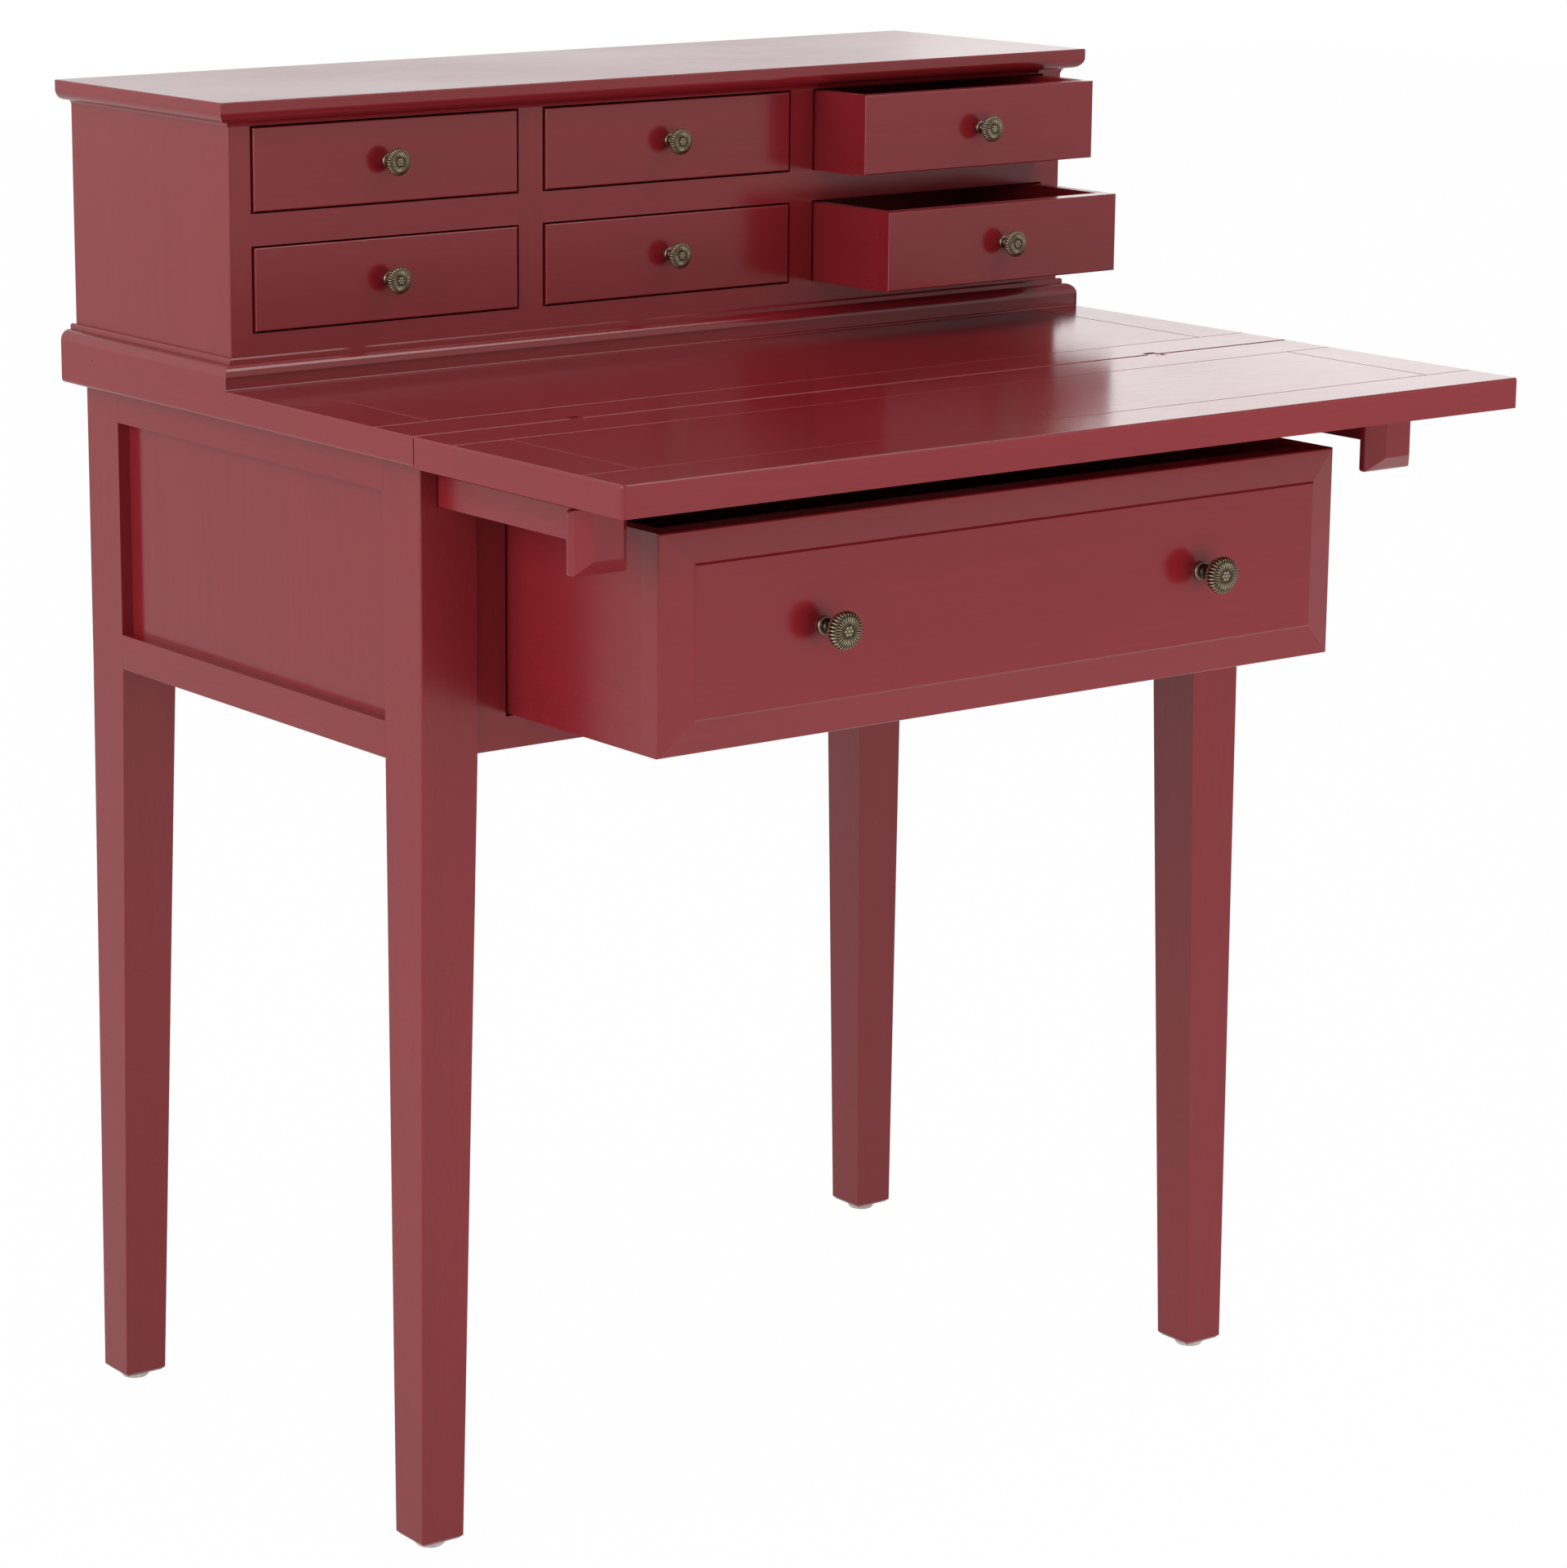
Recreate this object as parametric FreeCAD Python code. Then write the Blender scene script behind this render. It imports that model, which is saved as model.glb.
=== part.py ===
"""Writing desk with a drawer hutch, a fold-over flap on pull-out lopers and one wide drawer.

Millimetres, +Z up, the front towards -Y. The origin is on the floor, in the middle of the whole outline.
The pieces stand as in use: flap open, lopers out, wide drawer and the two right-hand small drawers part open.
"""
import FreeCAD, Part
import os

os.makedirs("parts", exist_ok=True)
Vector = FreeCAD.Vector

# General
overrun = 5.0                   # how far a cut runs past the face it opens
tolerance = 0.01                # an edge this near a plane lies on it
edge_easing = 1.0               # rounding of painted edges

# Fixed top and flap
writing_height = 755.0
board_thickness = 20.5
top_width = 740.0
fixed_top_depth = 447.5
flap_depth = 223.5
seam_gap = 1.0                  # between the fixed top and the open flap
rail_width = 44.0
stile_width = 42.0
groove_width = 1.2              # V line where rails, stiles and panel meet
groove_depth = 0.8
top_end_rounding = 3.0          # under the ends of the fixed top
arris_radius = 1.6              # round upper edges at the seam and round the flap
flap_under_rounding = 2.5       # below the flap's edge at the seam
flap_corner_rounding = 3.0      # upright edges at the front of the flap

# Flap hinges: a short link turns on one pin in the top and one in the flap
hinge_inset = 125.0             # end of the top to the middle of a link
link_width = 9.8
link_radius = 3.2
link_side_gap = 0.25
link_end_gap = 0.4
hinge_pin_radius = 1.2
hinge_pin_seat = 6.0            # length of pin held in the wood at each side
hinge_pin_depth = 3.6           # pin axis below the writing surface
fold_gap = 0.6                  # between the fixed top and the folded flap
running_clearance = 0.05

# Legs and glides
end_overhang = 18.0             # top past the outer faces of the legs
front_overhang = 20.0           # top past the front legs
back_overhang = 2.5
leg_size = 43.0
foot_size = 32.5
leg_splay = 4.0                 # sideways spread of each foot
leg_easing = 1.2                # outer upright edge of a leg
leg_joint_easing = 0.3          # upright edges beside the rails
foot_chamfer = 2.2
glide_radius = 10.0
glide_height = 5.0
glide_chamfer = 1.0

# Sides
side_height = 199.5             # rails and panel of a side, under the top
side_rail_height = 24.5
side_rail_thickness = 12.5
side_panel_recess = 9.0
panel_tongue = 5.0              # edge of the panel held in legs and rails

# Front frame and back
front_height = 195.0            # front frame and back apron, under the top
front_bottom_rail_height = 21.5
front_top_rail_height = 28.0
front_stile_width = 24.0
front_frame_thickness = 20.0
front_setback = 3.0             # frame behind the faces of the legs
back_apron_thickness = 12.0
back_apron_setback = 3.0

# Wide drawer and what carries it
wide_front_gap = 1.9
wide_front_thickness = 18.0
wide_edge_rounding = 1.6
wide_drawer_depth = 380.0
wide_drawer_out = 163.7
wide_wall_thickness = 12.0
wide_bottom_thickness = 6.0
wide_bottom_lift = 8.0
border_width = 20.0             # sloped border above the raised field
border_foot_width = 21.8        # below it
border_end_width = 23.0         # at its ends
border_rise = 5.2
wide_field_step = 1.4
wide_knob_inset = 124.5         # end of the front to a knob
drawer_lift = 0.2               # drawers above what they slide on
runner_width = 48.0
runner_height = 16.0
guide_width = 13.0
guide_height = 28.0
guide_gap = 0.5
kicker_width = 34.0
kicker_height = 20.0
kicker_gap = 0.4

# Lopers
loper_inset = 13.5              # outer face of the leg to the arm
loper_width = 17.0
loper_height = 20.0
loper_length = 290.0
loper_out = 159.3
loper_drop = 10.0               # underside of the flap to the top of the arm
rib_width = 7.5                 # raised strip along the arm that carries the flap
rib_gap = 0.3
slot_gap = 0.7
loper_floor_gap = 0.2
loper_bar_height = 12.0
loper_bar_gap = 0.3
block_width = 42.0
block_height = 42.0
block_drop = 7.5                # underside of the flap to the top of the block
block_edge = 4.5                # side of the block, round towards its bevel
block_rounding = 3.0
block_corner_rounding = 3.0
block_bevel = 9.3
field_width = 22.0
field_height = 20.7
field_step = 1.2

# Hutch
hutch_depth = 208.5
hutch_back_inset = 3.0
hutch_side_thickness = 17.0
hutch_back_thickness = 6.0
hutch_rail_thickness = 18.0
hutch_bottom_thickness = 12.0
hutch_floor_height = 35.0       # lower drawers above the writing surface
divider_thickness = 20.0
shelf_thickness = 21.5
small_opening_height = 58.0
cornice_overhang = 12.5
cornice_edge = 7.0
cornice_curve = 7.0
cornice_hollow = 4.0
cornice_hollow_height = 3.5
moulding_proud = 11.0           # foot moulding past the case, flush with the ends of the top
moulding_face = 9.0
moulding_nose = 7.5
moulding_foot = 1.2             # round foot of the front strip
moulding_bead_height = 3.7
moulding_bead_proud = 3.1

# Small drawers
small_front_gap = 1.2           # above and below a front
small_side_gap = 1.9
small_front_thickness = 12.0
small_front_proud = 1.5         # closed fronts past the case
small_drawer_back_gap = 22.5    # behind a closed drawer
small_wall_thickness = 8.0
small_bottom_thickness = 4.0
small_bottom_lift = 5.0
upper_drawer_out = 56.5         # right-hand drawers, as they stand
lower_drawer_out = 84.5

# Knobs
small_knob_radius = 9.25
small_knob_length = 16.0
wide_knob_radius = 12.5
wide_knob_length = 26.0
knob_shank_radius = 2.0
knob_shank_length = 8.0
knob_hole_gap = 0.3
# Outline from the seat outwards: share of the length, share of the radius
knob_flange_shares = [(0.0, 0.46), (0.05, 0.5), (0.1, 0.45)]
knob_neck_shares = [(0.1, 0.4), (0.27, 0.34), (0.45, 0.4)]
knob_ring_shares = [(0.6, 0.76), (0.645, 0.84), (0.69, 0.82)]
knob_head_shares = [(0.69, 0.86), (0.74, 0.97), (0.82, 1.0), (0.89, 0.92), (0.945, 0.68), (0.97, 0.36)]
knob_crown_share = (1.0, 0.3)

# Heights
frame_top = writing_height - board_thickness
side_underside = frame_top - side_height
front_underside = frame_top - front_height
side_rail_top = side_underside + side_rail_height
side_top_rail_bottom = frame_top - side_rail_height
opening_bottom = front_underside + front_bottom_rail_height
opening_top = frame_top - front_top_rail_height
arm_top = frame_top - loper_drop
arm_bottom = arm_top - loper_height
hutch_floor = writing_height + hutch_floor_height
hutch_case_top = hutch_floor + shelf_thickness + 2 * small_opening_height
overall_height = hutch_case_top + cornice_hollow_height + cornice_curve + cornice_edge
pin_height = writing_height - hinge_pin_depth

# Places along Y
overall_depth = fixed_top_depth + seam_gap + flap_depth
top_back = overall_depth / 2
seam_front = top_back - fixed_top_depth
flap_back = seam_front - seam_gap
flap_front = flap_back - flap_depth
legs_back = top_back - back_overhang
legs_front = seam_front + front_overhang
legs_front_inner = legs_front + leg_size
legs_back_inner = legs_back - leg_size
frame_front = legs_front + front_setback
frame_inner = frame_front + front_frame_thickness
apron_back = legs_back - back_apron_setback
apron_front = apron_back - back_apron_thickness
hutch_back = top_back - hutch_back_inset
hutch_front = hutch_back - hutch_depth
small_drawer_depth = small_front_proud + hutch_depth - hutch_back_thickness - small_drawer_back_gap
seam_middle = (seam_front + flap_back) / 2
pin_spacing = 2 * hinge_pin_depth + fold_gap
top_pin_y = seam_middle + pin_spacing / 2
flap_pin_y = seam_middle - pin_spacing / 2

# Places along X
top_half = top_width / 2
frame_half = top_half - end_overhang
frame_inside = frame_half - leg_size
opening_half = frame_inside - front_stile_width
wide_half = opening_half - wide_front_gap
arm_outer = frame_half - loper_inset
arm_inner = arm_outer - loper_width
hutch_half = top_half - moulding_proud
hutch_inside = hutch_half - hutch_side_thickness
small_opening_width = (2 * hutch_inside - 2 * divider_thickness) / 3
column_pitch = small_opening_width + divider_thickness
link_places = [hinge_inset - top_half, top_half - hinge_inset]


def box(x0, x1, y0, y1, z0, z1):
    """Box between two corners, given in either order along each axis."""
    corner = Vector(min(x0, x1), min(y0, y1), min(z0, z1))
    return Part.makeBox(abs(x1 - x0), abs(y1 - y0), abs(z1 - z0), corner)


def mirrored(shape):
    """The same piece at the other side of the desk."""
    return shape.mirror(Vector(0, 0, 0), Vector(1, 0, 0))


def both(shape):
    """A piece and its mirror image."""
    return [shape, mirrored(shape)]


def save(name, *shapes):
    """Write one named piece, or a set of equal pieces, as separate solids."""
    solids = [solid for shape in shapes for solid in shape.Solids]
    Part.makeCompound(solids).exportStep("parts/" + name + ".step")


def edges_on(shape, x=None, y=None, z=None):
    """Edges that lie on every plane given."""
    found = []
    for edge in shape.Edges:
        reach = edge.BoundBox
        spans = [(x, reach.XMin, reach.XMax), (y, reach.YMin, reach.YMax), (z, reach.ZMin, reach.ZMax)]
        planes = [span for span in spans if span[0] is not None]
        if all(max(abs(low - at), abs(high - at)) < tolerance for at, low, high in planes):
            found.append(edge)
    return found


def polygon_prism(points, reach):
    """Solid swept from a closed flat outline along a vector."""
    return Part.Face(Part.makePolygon(points + points[:1])).extrude(reach)


def outline_prism(edges, reach):
    """Solid swept from a closed outline of lines and arcs along a vector."""
    return Part.Face(Part.Wire(edges)).extrude(reach)


def chain(*runs):
    """Edges through runs of points: two points make a line, three an arc."""
    edges = []
    for run in runs:
        if len(run) == 3:
            edges.append(Part.Arc(*run).toShape())
        else:
            edges.append(Part.makeLine(*run))
    return edges


def rounded_section(x0, x1, y0, y1, z, radii):
    """Closed level rectangle, its corners rounded from the one at x1, y1 on towards x0."""
    corners = [(x1, y1, -1, -1), (x0, y1, 1, -1), (x0, y0, 1, 1), (x1, y0, -1, 1)]
    arcs = []
    for quarter, ((x, y, along_x, along_y), radius) in enumerate(zip(corners, radii)):
        centre = Vector(x + along_x * radius, y + along_y * radius, z)
        arcs.append(Part.makeCircle(radius, centre, Vector(0, 0, 1), 90 * quarter, 90 * (quarter + 1)))
    edges = []
    for arc, following in zip(arcs, arcs[1:] + arcs[:1]):
        edges.append(arc)
        edges.append(Part.makeLine(arc.Vertexes[-1].Point, following.Vertexes[0].Point))
    return Part.Wire(edges)


# Legs, glides and sides

def side_panel():
    """Left side panel, held in the legs and rails all round."""
    outer = side_panel_recess - frame_half
    inner = side_rail_thickness - frame_half
    return box(outer, inner, legs_front_inner - panel_tongue, legs_back_inner + panel_tongue,
               side_rail_top - panel_tongue, side_top_rail_bottom + panel_tongue)


def side_rail(bottom):
    """Left side rail, rebated at the back for the panel."""
    rail = box(-frame_half, side_rail_thickness - frame_half, legs_front_inner, legs_back_inner,
               bottom, bottom + side_rail_height)
    return rail.cut(side_panel())


def left_leg(front):
    """Left leg: square down to the rails, then tapered on its two inner faces to the chamfered foot."""
    foot_x = -frame_half - leg_splay
    levels = [(foot_x, foot_size, glide_height, foot_chamfer),
              (foot_x, foot_size, glide_height + foot_chamfer, 0),
              (-frame_half, leg_size, side_underside, 0),
              (-frame_half, leg_size, frame_top, 0)]
    radii = [leg_joint_easing] * 4
    radii[2 if front else 1] = leg_easing
    sections = []
    for x, size, z, inset in levels:
        y = legs_front if front else legs_back - size
        sections.append(rounded_section(x + inset, x + size - inset, y + inset, y + size - inset, z, radii))
    leg = Part.makeLoft(sections, True, True).cut(side_panel())
    if front:
        leg = leg.cut(loper_notch())
    return leg


def loper_notch():
    """Open notch through the top of the left front leg for the loper arm."""
    return box(-arm_outer - slot_gap, -arm_inner + slot_gap, legs_front - overrun, legs_front_inner + overrun,
               arm_bottom - loper_floor_gap, frame_top + overrun)


def glide(front):
    """Round glide under a left foot."""
    inward = 1 if front else -1
    outer_y = legs_front if front else legs_back
    centre = Vector(foot_size / 2 - frame_half - leg_splay, outer_y + inward * foot_size / 2, 0)
    disc = Part.makeCylinder(glide_radius, glide_height, centre)
    return disc.makeChamfer(glide_chamfer, edges_on(disc, z=0))


def build_base_frame():
    """Legs, glides, side rails and side panels."""
    for row, front in (("front", True), ("back", False)):
        leg = left_leg(front)
        save("leg_" + row + "_left", leg)
        save("leg_" + row + "_right", mirrored(leg))
    save("floor_glides", *both(glide(True)), *both(glide(False)))
    save("side_rails", *both(side_rail(side_underside)), *both(side_rail(side_top_rail_bottom)))
    save("side_panels", *both(side_panel()))


# Front frame, back and drawer carriers

def build_carcass():
    """Front frame, back apron and the bars that carry the drawer and the lopers."""
    save("front_bottom_rail", box(-frame_inside, frame_inside, frame_front, frame_inner,
                                  front_underside, opening_bottom))
    save("front_top_rail", box(-frame_inside, frame_inside, frame_front, frame_inner, opening_top, frame_top))
    save("front_stiles", *both(box(-frame_inside, -opening_half, frame_front, frame_inner,
                                   opening_bottom, opening_top)))
    save("back_apron", box(-frame_inside, frame_inside, apron_front, apron_back, front_underside, frame_top))
    save("drawer_runners", *both(drawer_runner()))
    kicker_bottom = opening_top - wide_front_gap + kicker_gap
    save("drawer_kickers", *both(box(-frame_inside, kicker_width - frame_inside, frame_inner, apron_front,
                                     kicker_bottom, kicker_bottom + kicker_height)))
    bar_top = arm_bottom - loper_floor_gap
    bar_outer = loper_bar_gap + side_rail_thickness - frame_half
    save("loper_bars", *both(box(bar_outer, -arm_inner, legs_front_inner, legs_back_inner,
                                 bar_top - loper_bar_height, bar_top)))


def drawer_runner():
    """Left runner under the wide drawer, with the raised guide beside it."""
    top = opening_bottom + wide_front_gap - drawer_lift
    runner = box(-frame_inside, runner_width - frame_inside, frame_inner, apron_front,
                 top - runner_height, top)
    guide_inner = -wide_half - guide_gap
    guide = box(guide_inner - guide_width, guide_inner, frame_inner, apron_front, top, top + guide_height)
    return runner.fuse(guide).removeSplitter()


# Fixed top, flap and hinges

def groove_across(y):
    """V line along X."""
    points = [Vector(-top_half - overrun, y - groove_width / 2, writing_height),
              Vector(-top_half - overrun, y + groove_width / 2, writing_height),
              Vector(-top_half - overrun, y, writing_height - groove_depth)]
    return polygon_prism(points, Vector(top_width + 2 * overrun, 0, 0))


def groove_along(x, front, back):
    """V line along Y."""
    points = [Vector(x - groove_width / 2, front, writing_height),
              Vector(x + groove_width / 2, front, writing_height),
              Vector(x, front, writing_height - groove_depth)]
    return polygon_prism(points, Vector(0, back - front, 0))


def framed_board(slab, front, back):
    """Front rail, back rail, two end stiles and flush panel cut from one slab."""
    inner_front = front + rail_width
    inner_back = back - rail_width
    panel_half = top_half - stile_width
    slab = slab.cut(groove_across(inner_front)).cut(groove_across(inner_back))
    for x in (-panel_half, panel_half):
        slab = slab.cut(groove_along(x, inner_front, inner_back))
    low = frame_top - overrun
    high = writing_height + overrun
    reach = top_half + overrun
    front_rail = slab.common(box(-reach, reach, front - overrun, inner_front, low, high))
    back_rail = slab.common(box(-reach, reach, inner_back, back + overrun, low, high))
    stile = slab.common(box(-reach, -panel_half, inner_front, inner_back, low, high))
    panel = slab.common(box(-panel_half, panel_half, inner_front, inner_back, low, high))
    return front_rail, back_rail, stile, panel


def upper_edge_round(x, inward, front, back):
    """Waste off the upper edge of one end of the fixed top."""
    centre = Vector(x + inward * edge_easing, front, writing_height - edge_easing)
    corner = box(x, centre.x, front, back, centre.z, writing_height)
    return corner.cut(Part.makeCylinder(edge_easing, back - front, centre, Vector(0, 1, 0)))


def fixed_top_slab():
    """Fixed top, round below its ends and eased above them up to the hutch moulding."""
    slab = box(-top_half, top_half, seam_front, top_back, frame_top, writing_height)
    under = edges_on(slab, x=-top_half, z=frame_top) + edges_on(slab, x=top_half, z=frame_top)
    slab = slab.makeFillet(top_end_rounding, under)
    slab = slab.makeFillet(arris_radius, edges_on(slab, y=seam_front, z=writing_height))
    moulding_front = hutch_front - moulding_proud
    for x, inward in ((-top_half, 1), (top_half, -1)):
        slab = slab.cut(upper_edge_round(x, inward, seam_front - overrun, moulding_front))
    return slab


def flap_slab():
    """Flap, round along its upper edges, at its front corners and below the seam."""
    slab = box(-top_half, top_half, flap_front, flap_back, frame_top, writing_height)
    corners = edges_on(slab, x=-top_half, y=flap_front) + edges_on(slab, x=top_half, y=flap_front)
    slab = slab.makeFillet(flap_corner_rounding, corners)
    slab = slab.makeFillet(arris_radius, edges_on(slab, z=writing_height))
    return slab.makeFillet(flap_under_rounding, edges_on(slab, y=flap_back, z=frame_top))


def hinge_pin(x, y, clearance):
    """Pin across a link, or its hole when a clearance is given."""
    half = link_width / 2 + link_side_gap + hinge_pin_seat + clearance
    start = Vector(x - half, y, pin_height)
    return Part.makeCylinder(hinge_pin_radius + clearance, 2 * half, start, Vector(1, 0, 0))


def link_slot(x, y0, y1):
    """Open slot for a link in the upper face of a rail."""
    half = link_width / 2 + link_side_gap
    return box(x - half, x + half, y0, y1, pin_height - link_radius - link_end_gap, writing_height + overrun)


def hinge_link(x):
    """Flat link with round ends and a hole for each pin."""
    def at(y, rise):
        return Vector(x - link_width / 2, y, pin_height + rise)
    front = flap_pin_y
    back = top_pin_y
    outline = chain((at(back, -link_radius), at(back + link_radius, 0), at(back, link_radius)),
                    (at(back, link_radius), at(front, link_radius)),
                    (at(front, link_radius), at(front - link_radius, 0), at(front, -link_radius)),
                    (at(front, -link_radius), at(back, -link_radius)))
    link = outline_prism(outline, Vector(link_width, 0, 0))
    for y in (back, front):
        link = link.cut(hinge_pin(x, y, running_clearance))
    return link


def build_top_and_flap():
    """Fixed top, flap, and the links and pins between them."""
    front_rail, back_rail, stile, panel = framed_board(fixed_top_slab(), seam_front, top_back)
    slot_reach = link_radius + link_end_gap
    for x in link_places:
        front_rail = front_rail.cut(link_slot(x, seam_front - overrun, top_pin_y + slot_reach))
        front_rail = front_rail.cut(hinge_pin(x, top_pin_y, running_clearance))
    save("top_front_rail", front_rail)
    save("top_back_rail", back_rail)
    save("top_end_stiles", *both(stile))
    save("top_panel", panel)
    front_rail, back_rail, stile, panel = framed_board(flap_slab(), flap_front, flap_back)
    for x in link_places:
        back_rail = back_rail.cut(link_slot(x, flap_back + overrun, flap_pin_y - slot_reach))
        back_rail = back_rail.cut(hinge_pin(x, flap_pin_y, running_clearance))
    save("flap_front_rail", front_rail)
    save("flap_back_rail", back_rail)
    save("flap_end_stiles", *both(stile))
    save("flap_panel", panel)
    save("hinge_links", *[hinge_link(x) for x in link_places])
    save("hinge_top_pins", *[hinge_pin(x, top_pin_y, 0) for x in link_places])
    save("hinge_flap_pins", *[hinge_pin(x, flap_pin_y, 0) for x in link_places])


# Lopers

def loper_arm():
    """Left loper arm with the raised strip that carries the flap."""
    front = legs_front - loper_out
    arm = box(-arm_outer, -arm_inner, front, front + loper_length, arm_bottom, arm_top)
    rib = box(-arm_inner - rib_width, -arm_inner, front, front + loper_length, arm_top, frame_top - rib_gap)
    return arm.fuse(rib).removeSplitter()


def block_profile(half, field_half, back):
    """Half-width and depth runs of the pull block: round-edged side, bevel, sloped step and field."""
    edge = back - block_edge
    step_start = (field_half + field_step, edge - block_bevel)
    bevel_run = half - step_start[0]
    rounded_share = block_rounding / (bevel_run ** 2 + block_bevel ** 2) ** 0.5
    side_end = (half, edge + block_rounding)
    bevel_start = (half - bevel_run * rounded_share, edge - block_bevel * rounded_share)
    corner_share = 0.48
    nose = (half * corner_share + (side_end[0] + bevel_start[0]) / 2 * (1 - corner_share),
            edge * corner_share + (side_end[1] + bevel_start[1]) / 2 * (1 - corner_share))
    field_edge = (field_half, step_start[1] - field_step)
    right = [[(half, back), side_end],
             [side_end, nose, bevel_start],
             [bevel_start, step_start],
             [step_start, field_edge]]
    left = [[(-u, v) for u, v in reversed(run)] for run in reversed(right)]
    across = [field_edge, (-field_half, field_edge[1])]
    return right + [across] + left + [[(-half, back), (half, back)]]


def loper_block():
    """Left pull block: the same profile both ways, mitred where the two meet, with round corners."""
    back = legs_front - loper_out
    centre_x = -(arm_outer + arm_inner) / 2
    top = frame_top - block_drop
    bottom = top - block_height
    centre_z = (top + bottom) / 2
    left = centre_x - block_width / 2
    right = left + block_width
    upright = chain(*[[Vector(centre_x + u, v, bottom) for u, v in run]
                      for run in block_profile(block_width / 2, field_width / 2, back)])
    level = chain(*[[Vector(left, v, centre_z + u) for u, v in run]
                    for run in block_profile(block_height / 2, field_height / 2, back)])
    column = outline_prism(upright, Vector(0, 0, block_height))
    beam = outline_prism(level, Vector(block_width, 0, 0))
    blank = box(left, right, back - block_edge - block_bevel - field_step, back, bottom, top)
    corners = [edge for x in (left, right) for z in (bottom, top) for edge in edges_on(blank, x=x, z=z)]
    return blank.makeFillet(block_corner_rounding, corners).common(column).common(beam)


def build_lopers():
    """The two lopers that slide out under the flap."""
    for side, turned in (("left", False), ("right", True)):
        for name, shape in (("arm", loper_arm()), ("block", loper_block())):
            save("loper_" + name + "_" + side, mirrored(shape) if turned else shape)


# Knobs and drawers

def knob(x, face, z, radius, length):
    """Turned knob standing on a drawer front, with its screw shank."""
    def at(share):
        return Vector(radius * share[1], -length * share[0], 0)
    runs = [knob_flange_shares, knob_neck_shares, knob_ring_shares]
    curves = [Part.Arc(*[at(share) for share in run]).toShape() for run in runs]
    head = Part.BSplineCurve()
    head.interpolate([at(share) for share in knob_head_shares])
    edges = []
    last = Vector(0, 0, 0)
    for curve in curves + [head.toShape()]:
        edges.append(Part.makeLine(last, curve.Vertexes[0].Point))
        edges.append(curve)
        last = curve.Vertexes[-1].Point
    crown = at(knob_crown_share)
    tip = Vector(0, crown.y, 0)
    edges += chain((last, crown), (crown, tip), (tip, Vector(0, 0, 0)))
    turned = Part.Face(Part.Wire(edges)).revolve(Vector(0, 0, 0), Vector(0, 1, 0), 360)
    shank = Part.makeCylinder(knob_shank_radius, knob_shank_length, Vector(0, 0, 0), Vector(0, 1, 0))
    whole = turned.fuse(shank).removeSplitter()
    whole.translate(Vector(x, face, z))
    return whole


def shank_hole(x, face, z):
    """Blind hole for a knob's shank."""
    return Part.makeCylinder(knob_shank_radius + knob_hole_gap, knob_shank_length + knob_hole_gap,
                             Vector(x, face, z), Vector(0, 1, 0))


def drawer_box(half, centre, front, back, bottom, top, wall, floor_lift, floor_thickness):
    """Two sides, back and bottom of a drawer behind its front."""
    left = box(centre - half, centre - half + wall, front, back, bottom, top)
    right = box(centre + half - wall, centre + half, front, back, bottom, top)
    inner = half - wall
    rear = box(centre - inner, centre + inner, back - wall, back, bottom, top)
    floor = box(centre - inner, centre + inner, front, back - wall,
                bottom + floor_lift, bottom + floor_lift + floor_thickness)
    return [left, right, rear, floor]


def wide_front(face, bottom, top):
    """Front of the wide drawer: border sloped up to a raised field with a sloped step round it."""
    board = box(-wide_half, wide_half, face, face + wide_front_thickness, bottom, top)
    board = board.makeFillet(wide_edge_rounding, edges_on(board, y=face))
    borders = (border_end_width, border_foot_width, border_width)

    def ring(insets, rise):
        end, foot, head = insets
        points = [Vector(-wide_half + end, face - rise, bottom + foot),
                  Vector(wide_half - end, face - rise, bottom + foot),
                  Vector(wide_half - end, face - rise, top - head),
                  Vector(-wide_half + end, face - rise, top - head)]
        return Part.makePolygon(points + points[:1])

    rings = [ring([wide_edge_rounding] * 3, 0),
             ring(borders, border_rise),
             ring([inset + wide_field_step for inset in borders], border_rise + wide_field_step)]
    return board.fuse(Part.makeLoft(rings, True, True)).removeSplitter()


def build_wide_drawer():
    """Wide drawer, standing part open."""
    face = frame_front - wide_drawer_out
    bottom = opening_bottom + wide_front_gap
    top = opening_top - wide_front_gap
    centre_z = (bottom + border_foot_width + top - border_width) / 2
    knob_seat = face - border_rise - wide_field_step
    front = wide_front(face, bottom, top)
    knob_places = [wide_knob_inset - wide_half, wide_half - wide_knob_inset]
    for x in knob_places:
        front = front.cut(shank_hole(x, knob_seat, centre_z))
    save("wide_drawer_front", front)
    save("wide_drawer_box", *drawer_box(wide_half, 0, face + wide_front_thickness, face + wide_drawer_depth,
                                        bottom, top, wide_wall_thickness, wide_bottom_lift,
                                        wide_bottom_thickness))
    save("wide_drawer_knobs", *[knob(x, knob_seat, centre_z, wide_knob_radius, wide_knob_length)
                                for x in knob_places])


def build_small_drawer(name, column, floor, out):
    """One small drawer: column counts from the middle, floor is what it slides on."""
    face = hutch_front - small_front_proud - out
    centre = column * column_pitch
    half = small_opening_width / 2 - small_side_gap
    bottom = floor + small_front_gap
    top = floor + small_opening_height - small_front_gap
    centre_z = (bottom + top) / 2
    front = box(centre - half, centre + half, face, face + small_front_thickness, bottom, top)
    front = front.makeFillet(edge_easing, edges_on(front, y=face))
    front = front.cut(shank_hole(centre, face, centre_z))
    save(name + "_front", front)
    save(name + "_box", *drawer_box(half, centre, face + small_front_thickness, face + small_drawer_depth,
                                    floor + drawer_lift, top, small_wall_thickness, small_bottom_lift,
                                    small_bottom_thickness))
    save(name + "_knob", knob(centre, face, centre_z, small_knob_radius, small_knob_length))


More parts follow.
